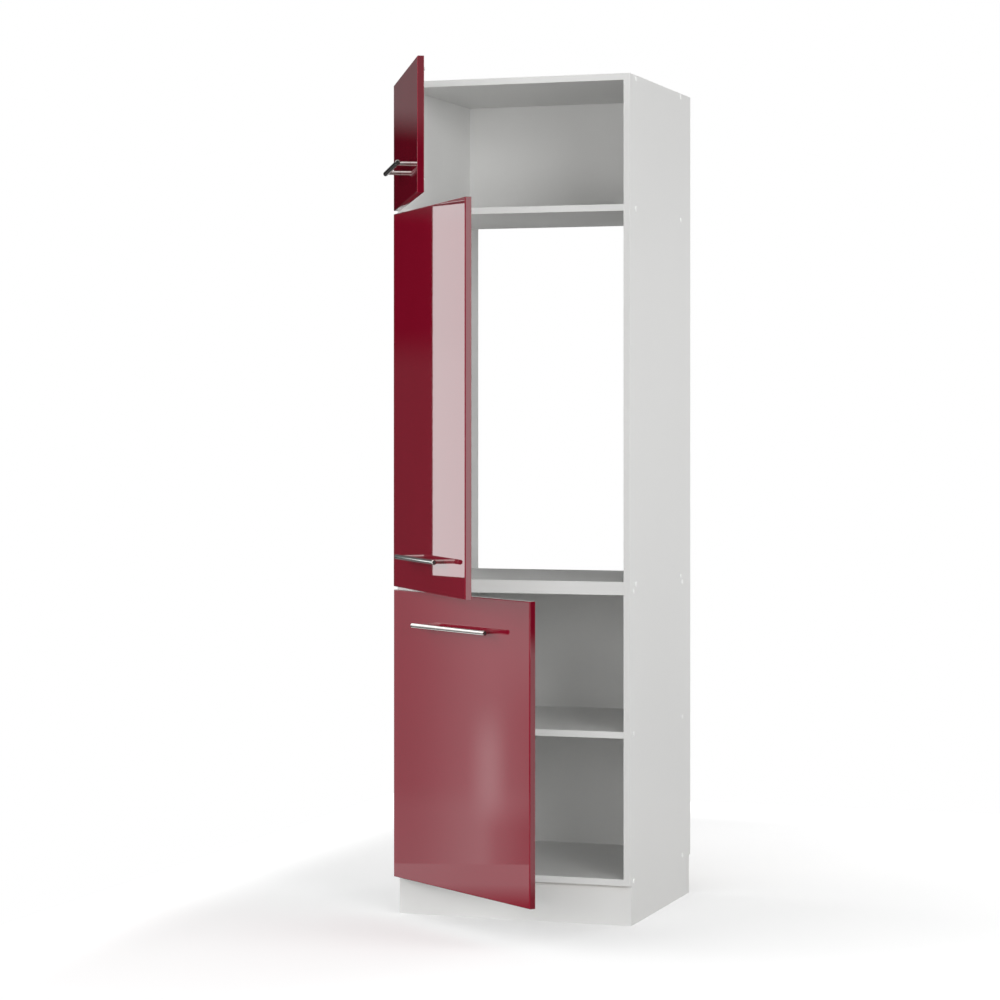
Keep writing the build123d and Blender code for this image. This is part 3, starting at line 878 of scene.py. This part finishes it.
def door_screws(door):
    node = door + "_hinge_cup_screws"
    cup_screw = screw("cup_screw", *cup_screw_head, 0.002, 0.0112)
    places = seats(solids_of(node, door), (0, 1, 0), cup_screw_head[1])
    group = fit_copies(door + "_cup_screw_set", cup_screw, places, door)
    finish_piece(group, door + "_door", [node], [finishes["zinc"]])
    node = door + "_handle_screws"
    handle_screw = screw("handle_screw", *handle_screw_head, 0.002, 0.028)
    places = seats(solids_of(node, door), (0, 1, 0), handle_screw_head[1])
    group = fit_copies(door + "_handle_screw_pair", handle_screw, places, door)
    finish_piece(group, door + "_door", [node], [finishes["zinc"]])


buffer_solid_h = 0.0027
buffer_h = 0.0024               # they just clear the edge band on the side panel when the door is shut


def door_buffers(door):
    """Clear domed buffers where the door meets the side panel's edge."""
    node = door + "_door_buffers"
    places = seats(solids_of(node, door), (0, 1, 0), buffer_solid_h)
    dome = rod("buffer", (0, 0, 0), (0, 0, buffer_h), 0.004, sides=32)
    round_edges(dome, lambda a, b: a.z > buffer_h - 1e-4 and b.z > buffer_h - 1e-4, 0.0015, 5)
    smooth(dome, 60)
    pair = fit_copies(door + "_buffer_pair", dome, places, door)
    finish_piece(pair, door + "_door", [node], [finishes["buffer"]])


def fit_hinges():
    cup, arm, plate, pin = hinge_cup(), hinge_arm(), mounting_plate(), hinge_pin()
    for door in door_names:
        levels = hinge_levels(door)
        for number, level in enumerate(levels, 1):
            node = f"{door}_hinge_cup_{number}"
            pressing = copy_of(cup, swing(door) @ raised(level))
            pressing.name = node + "_pressing"
            finish_piece(pressing, door + "_door", [node], [finishes["nickel"]])
            node = f"{door}_hinge_arm_{number}"
            pressing = copy_of(arm, raised(level))
            pressing.name = node + "_pressing"
            finish_piece(pressing, "carcass", [node], [finishes["nickel"]])
        plates = join(door + "_mounting_plates", [copy_of(plate, raised(level)) for level in levels])
        finish_piece(plates, "carcass", [door + "_hinge_plates"], [finishes["nickel"]])
        pins = join(door + "_hinge_pin_set", [copy_of(pin, raised(level)) for level in levels])
        finish_piece(pins, door + "_door", [door + "_hinge_pins"], [finishes["nickel"]])
        door_screws(door)
        door_buffers(door)
    for piece in (cup, arm, plate, pin):
        remove(piece)


def carcass_fasteners():
    """Screws, nails and caps on the carcass."""
    for node, name, core, length in (
            ("hinge_plate_screws", "plate_screw_set", 0.0025, 0.0135),
            ("hinge_clamp_screws", "clamp_screw_set", 0.002, 0.005)):
        places = seats(solids_of(node), (1, 0, 0), pan_head[1])
        group = fit_copies(name, screw(name, *pan_head, core, length), places)
        finish_piece(group, "carcass", [node], [finishes["zinc"]])
    places = []
    for box in solids_of("plinth_screws"):
        size = box[1] - box[0]
        look = (0, 1, 0) if size.y > size.x else (-1 if box[0].x > 0 else 1, 0, 0)
        places += seats([box], look, pan_head[1])
    group = fit_copies("plinth_screw_set", screw("plinth_screw", *pan_head, 0.002, 0.012), places)
    finish_piece(group, "carcass", ["plinth_screws"], [finishes["zinc"]])
    places = seats(solids_of("shelf_joining_screws"), (0, 0, -1), joining_screw_head[1])
    joiner = screw("joining_screw", *joining_screw_head, 0.00175, 0.0258)
    group = fit_copies("joining_screw_set", joiner, places)
    finish_piece(group, "carcass", ["shelf_joining_screws"], [finishes["zinc"]])
    places = seats(solids_of("back_panel_nails"), (0, 1, 0), nail_head[1])
    group = fit_copies("nail_set", nail(), places)
    finish_piece(group, "carcass", ["back_panel_nails"], [finishes["zinc"]])
    places = []
    for box in solids_of("screw_caps"):
        places += seats([box], (1 if box[0].x > 0 else -1, 0, 0), cap_size[1])
    group = fit_copies("cap_set", screw_cap(), places)
    finish_piece(group, "carcass", ["screw_caps"], [finishes["cap"]])


def nail():
    radius, height = nail_head
    head = rod("nail", (0, 0, 0), (0, 0, height), radius, sides=24)
    round_edges(head, lambda a, b: a.z > height - 1e-4 and b.z > height - 1e-4, 0.0005, 3)
    shank = rod("shank", (0, 0, 0.0001), (0, 0, -0.022), 0.0008, sides=12)
    whole = join("nail", [head, shank])
    smooth(whole)
    return whole


def screw_cap():
    """A thin moulded cap with a domed rim and a faintly sunk middle."""
    radius, height = cap_size
    cap = rod("cap", (0, 0, 0), (0, 0, height), radius, sides=48)
    round_edges(cap, lambda a, b: a.z > height - 1e-4 and b.z > height - 1e-4, 0.0009, 4)
    choose(cap, faces=lambda face: face.center.z > height - 1e-6 and face.normal.z > 0.99)
    bpy.ops.mesh.inset(thickness=0.0012)
    bpy.ops.mesh.inset(thickness=0.0006, depth=-0.00015)
    leave()
    smooth(cap)
    return cap


def plinth_brackets():
    """Angle brackets bent from strip, one in each corner behind the plinth."""
    leg, thickness, half = 0.025, 0.0025, 0.020
    level = (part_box("plinth_brackets")[0].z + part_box("plinth_brackets")[1].z) / 2
    toe_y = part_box("plinth_brackets")[0].y
    pair = []
    for side in (-1, 1):
        corner_x = side * 0.284
        near = (corner_x - side * leg, toe_y + thickness / 2)
        corner = (corner_x - side * thickness / 2, toe_y + thickness / 2)
        far = (corner_x - side * thickness / 2, toe_y + leg)
        bracket = bent_strip("bracket", [near, corner, far], half, thickness, thickness * 0.8)
        soften(bracket, 0.0003)
        bracket.matrix_world = raised(level)
        pair.append(settle(bracket))
    brackets = join("plinth_bracket_pair", pair)
    smooth(brackets)
    finish_piece(brackets, "carcass", ["plinth_brackets"], [finishes["zinc"]])


fit_hinges()
carcass_fasteners()
plinth_brackets()


# Edge bands on the boards' front edges, their long edges rounded over

band_t = 0.0003
band_round = 0.00025


def edge_band(node):
    low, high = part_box(node)
    foot = low.z
    if node.endswith("side_panel"):
        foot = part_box("plinth_board")[1].z
    band = block(node + "_edge_band", (low.x, low.y - band_t, foot), (high.x, low.y, high.z))
    front = low.y - band_t + 1e-5
    round_edges(band, lambda a, b: a.y < front and b.y < front, band_round, 3)
    smooth(band)
    # the band's white is painted darker than the boards', as painted shade
    return finish_piece(band, "carcass", materials=[finishes["band"]])


banded = ("left_side_panel", "right_side_panel", "bottom_shelf", "middle_shelf", "fridge_shelf_support",
          "fridge_shelf", "upper_shelf", "top_panel")
for node in banded:
    edge_band(node)


# Floor, light and background


def fade(tree, value, start, end):
    """0 where a value is START and 1 where it is END, eased between."""
    return add_node(tree, "ShaderNodeMapRange", {"Value": value, "From Min": start, "From Max": end},
                    interpolation_type="SMOOTHSTEP").outputs["Result"]


def chain(tree, operation, values):
    result = values[0]
    for value in values[1:]:
        result = maths(tree, operation, result, value)
    return result


def times(tree, *values):
    return chain(tree, "MULTIPLY", values)


def plus(tree, *values):
    return chain(tree, "ADD", values)


def rest_of(tree, share):
    return maths(tree, "SUBTRACT", 1.0, share)


def matt(tree, *tone):
    return add_node(tree, "ShaderNodeBsdfDiffuse", {"Color": (*tone, 1.0)}).outputs[0]


def white_glow(tree, strength):
    return add_node(tree, "ShaderNodeEmission", {"Color": (1, 1, 1, 1), "Strength": strength}).outputs[0]


def mix_shaders(tree, share, first, second):
    return add_node(tree, "ShaderNodeMixShader", {"Fac": share, 1: first, 2: second}).outputs[0]


def floor_as_mirrored(tree, x):
    """Dark near the object, bright further out to the sides."""
    aside = maths(tree, "ABSOLUTE", maths(tree, "SUBTRACT", x, floor_side_middle))
    share = spread(tree, aside, 0.0, 1.0, *floor_side_start)
    return mix_shaders(tree, share, matt(tree, *floor_mirror_tone), white_glow(tree, floor_side_mirrored))


def floor_as_seen(tree, parts, low, high):
    """Pale with the object's shadow, and white like the background along its border."""
    edges = []
    for axis, start, end in (("X", low.x, high.x), ("Y", low.y, high.y)):
        edges.append(fade(tree, parts.outputs[axis], start + floor_border, start))
        edges.append(fade(tree, parts.outputs[axis], end - floor_border, end))
    glow = spread(tree, chain(tree, "MAXIMUM", edges), floor_glow, 1.0, 0.0, 1.0)
    shade = add_node(tree, "ShaderNodeAmbientOcclusion", {"Distance": floor_shade_reach}, samples=16)
    open_share = spread(tree, shade.outputs["AO"], floor_least_shade, 1.0, 0.0, 1.0)
    return add_node(tree, "ShaderNodeAddShader", {
        0: matt(tree, *[floor_tone] * 3), 1: white_glow(tree, times(tree, glow, open_share))}).outputs[0]


def add_floor():
    deselect()
    low, high = Vector(floor_low), Vector(floor_high)
    bpy.ops.mesh.primitive_plane_add(size=1, location=(low + high) / 2)
    floor = bpy.context.object
    floor.name = "studio_floor"
    floor.scale = (high.x - low.x, high.y - low.y, 1)
    settle(floor)
    material = bpy.data.materials.new("studio floor")
    material.use_nodes = True
    tree = material.node_tree
    tree.nodes.clear()
    path = add_node(tree, "ShaderNodeLightPath")
    parts = add_node(tree, "ShaderNodeSeparateXYZ", {"Vector": object_place(tree)})
    in_gloss = path.outputs["Is Glossy Ray"]
    seen = maths(tree, "MAXIMUM", path.outputs["Is Camera Ray"], times(tree, in_gloss, floor_mirrored))
    unseen = mix_shaders(tree, in_gloss, matt(tree, *[floor_bounce] * 3),
                         floor_as_mirrored(tree, parts.outputs["X"]))
    mix = mix_shaders(tree, seen, unseen, floor_as_seen(tree, parts, low, high))
    add_node(tree, "ShaderNodeOutputMaterial", {"Surface": mix})
    floor.data.materials.append(material)


def aim(place, target):
    return (Vector(place) - Vector(target)).to_track_quat("Z", "Y").to_euler()


def add_lamp(name, place, target, size, power, mirrored=True):
    deselect()
    bpy.ops.object.light_add(type="AREA", location=place, rotation=aim(place, target))
    lamp = bpy.context.object
    lamp.name = name
    lamp.data.shape = "RECTANGLE"
    lamp.data.size, lamp.data.size_y = size
    lamp.data.energy = power
    lamp.visible_camera = False
    lamp.visible_glossy = mirrored


def add_strip_softbox():
    """The tall softbox that the middle door mirrors, standing back left and slanted to the door."""
    near, far = Vector((-2.488, 1.484, 1.33)), Vector((-2.430, 1.310, 1.33))
    run = (far - near).normalized()
    middle = near + run * strip_size[0] / 2
    facing = run.cross(Vector((0, 0, 1)))
    deselect()
    turn = Matrix((run, Vector((0, 0, 1)), facing)).transposed().to_euler()
    bpy.ops.object.light_add(type="AREA", location=middle, rotation=turn)
    lamp = bpy.context.object
    lamp.name = "strip_softbox"
    lamp.data.shape = "RECTANGLE"
    lamp.data.size, lamp.data.size_y = strip_size
    lamp.data.energy = strip_light * pi * strip_size[0] * strip_size[1]
    lamp.data.color = strip_tint
    lamp.visible_camera = False


def angle_band(tree, value, edges):
    """1 between the middle two angles, in degrees, and 0 outside the outer two."""
    low, start, end, high = [radians(edge) for edge in edges]
    return times(tree, fade(tree, value, low, start), fade(tree, value, high, end))


def patch(tree, bearing, rise, bearings, rises, level):
    """A lit patch of the studio between bearings and rises."""
    return times(tree, angle_band(tree, bearing, bearings), angle_band(tree, rise, rises), level)


def pale_wall(tree, ray, bearing, rise, mirrored):
    """The clouded wall to the left, and the far floor that mirrors show below it."""
    clouds = add_node(tree, "ShaderNodeTexNoise", {
        "Vector": ray, "Scale": 14.0, "Detail": 1.5, "Roughness": 0.4}).outputs["Fac"]
    level = plus(tree, spread(tree, clouds, *wall_light, 0.38, 0.68),
                 times(tree, angle_band(tree, rise, wall_top_rise), wall_top_light),
                 *[patch(tree, bearing, rise, *spot) for spot in wall_spots])
    past_end = times(tree, fade(tree, bearing, *[radians(edge) for edge in wall_mirrored_end]), mirrored)
    lowest, highest = [radians(edge) for edge in far_floor_rise]
    below = times(tree, fade(tree, rise, highest, lowest), mirrored)
    wall = times(tree, patch(tree, bearing, rise, wall_bearing, wall_rise, level),
                 rest_of(tree, past_end), rest_of(tree, below))
    return plus(tree, wall, times(tree, below, far_floor_light))


def dark_corner(tree, bearing, rise):
    """The back left corner under its ceiling."""
    slope = plus(tree, rise, times(tree, bearing, ceiling_slope))
    level = plus(tree, times(tree, angle_band(tree, slope, ceiling_rise), ceiling_light),
                 times(tree, angle_band(tree, rise, carpet_rise), carpet_light), corner_gloom)
    return times(tree, angle_band(tree, bearing, corner_bearing), level)


def mirrored_room(tree, bearing, rise, front):
    """What gloss and metal alone show: panels, backdrop and the pale floor to the right."""
    above = plus(tree, times(tree, angle_band(tree, rise, room_ceiling_rise), room_ceiling_light),
                 times(tree, angle_band(tree, rise, overhead_rise), overhead_light))
    return plus(tree, times(tree, front, above),
                patch(tree, bearing, rise, left_panel_bearing, left_panel_rise, left_panel_light),
                patch(tree, bearing, rise, backdrop_bearing, backdrop_rise, backdrop_mirrored),
                patch(tree, bearing, rise, right_floor_bearing, right_floor_rise, right_floor_light))


def add_world():
    """White for the camera; for all other rays a dim studio with a pale wall to the left."""
    world = bpy.data.worlds.new("studio")
    world.use_nodes = True
    bpy.context.scene.world = world
    tree = world.node_tree
    tree.nodes.clear()
    ray = add_node(tree, "ShaderNodeTexCoord").outputs["Generated"]
    parts = add_node(tree, "ShaderNodeSeparateXYZ", {"Vector": ray})
    bearing = maths(tree, "ARCTAN2", times(tree, parts.outputs["X"], -1.0), parts.outputs["Y"])
    rise = maths(tree, "ARCSINE", parts.outputs["Z"])
    front = fade(tree, parts.outputs["Y"], 0.25, -0.25)
    path = add_node(tree, "ShaderNodeLightPath")
    mirrored = maths(tree, "MAXIMUM", path.outputs["Is Glossy Ray"], path.outputs["Is Transmission Ray"])
    light = plus(tree, times(tree, front, room_light, rest_of(tree, mirrored)),
                 dark_corner(tree, bearing, rise),
                 pale_wall(tree, ray, bearing, rise, mirrored),
                 times(tree, mirrored, mirrored_room(tree, bearing, rise, front)))
    room, white = [add_node(tree, "ShaderNodeBackground", {"Color": (1, 1, 1, 1), "Strength": strength})
                   for strength in (light, 1.0)]
    mix = mix_shaders(tree, path.outputs["Is Camera Ray"], room.outputs[0], white.outputs[0])
    add_node(tree, "ShaderNodeOutputWorld", {"Surface": mix})


def add_camera():
    deselect()
    bpy.ops.object.camera_add(location=camera_place, rotation=(radians(90), 0, radians(camera_turn)))
    camera = bpy.context.object
    camera.name = "studio_camera"
    camera.data.sensor_width = 36.0
    camera.data.lens = camera_lens
    camera.data.shift_x, camera.data.shift_y = camera_shift
    bpy.context.scene.camera = camera


add_camera()
add_floor()
add_world()
add_lamp("front_softbox", (0.6, -5.0, 1.4), (0, 0, 1.2), (2.4, 1.6), 56.5, mirrored=False)
add_lamp("low_front_softbox", (1.6, -5.0, 0.5), (0, 0, 0.5), (2.0, 0.8), 12.0, mirrored=False)
add_lamp("right_softbox", (3.4, -0.2, 2.3), (0, 0, 1.4), (2.0, 2.2), 44.5)
add_lamp("right_front_softbox", (5.65, -4.7, 1.9), (0, 0, 1.3), (3.4, 3.6), 106.0)
add_lamp("right_front_fill", (4.6, -5.6, 2.4), (0, 0, 1.3), (2.6, 2.6), 155.0, mirrored=False)
add_lamp("left_front_softbox", (-3.0, -3.6, 1.8), (0, 0, 1.0), (2.0, 2.2), 57.0, mirrored=False)
add_lamp("rear_softbox", (1.9, 2.9, 1.1), (-0.28, 0.3, 1.2), (1.2, 1.8), 30.0, mirrored=False)
add_strip_softbox()

bpy.context.scene.view_settings.view_transform = "Standard"
